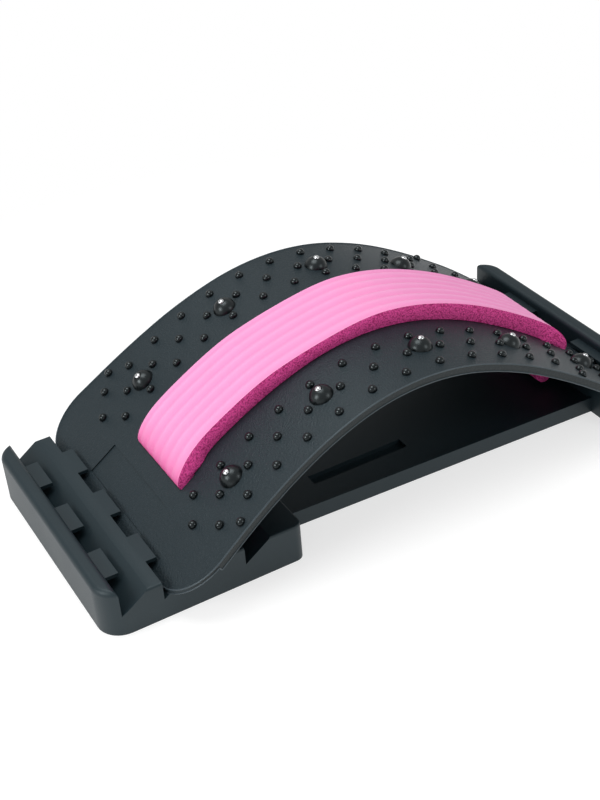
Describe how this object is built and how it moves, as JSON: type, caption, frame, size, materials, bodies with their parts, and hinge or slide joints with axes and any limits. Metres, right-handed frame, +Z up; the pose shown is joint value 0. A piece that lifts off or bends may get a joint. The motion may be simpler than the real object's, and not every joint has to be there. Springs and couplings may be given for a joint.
{
  "type": "lumbar traction device",
  "caption": "Low back stretcher: a bent plate with massage nubs, ten domed knobs and a pink ribbed foam strip, set in a slotted base",
  "frame": {"origin": "bounding box bottom centre", "axes": "X along the base, from the pictured near end to the far end; Y across it, away from the camera's side; Z up"},
  "size_m": [0.517, 0.2662, 0.1464],
  "materials": {
    "base_plastic": "satin",
    "plate_plastic": "matte",
    "nub_plastic": "gloss",
    "magnet_metal": "polished",
    "pink_foam": "matte"
  },
  "bodies": {
    "base": {"base": "base_plastic"},
    "arch": {"arch_plate": "plate_plastic", "foam_strip": "pink_foam", "nubs_near": "nub_plastic", "nubs_far": "nub_plastic", "dome_near_1": "nub_plastic", "dome_near_2": "nub_plastic", "dome_near_3": "nub_plastic", "dome_near_4": "nub_plastic", "dome_near_5": "nub_plastic", "dome_far_1": "nub_plastic", "dome_far_2": "nub_plastic", "dome_far_3": "nub_plastic", "dome_far_4": "nub_plastic", "dome_far_5": "nub_plastic", "magnet_near_1": "magnet_metal", "magnet_near_2": "magnet_metal", "magnet_near_3": "magnet_metal", "magnet_near_4": "magnet_metal", "magnet_near_5": "magnet_metal", "magnet_far_1": "magnet_metal", "magnet_far_2": "magnet_metal", "magnet_far_3": "magnet_metal", "magnet_far_4": "magnet_metal", "magnet_far_5": "magnet_metal"}
  },
  "joints": [
    {"name": "arch_slide_out", "type": "slide", "parent": "base", "child": "arch", "axis": [0, 1, 0], "range_m": [0, 0.25]}
  ]
}
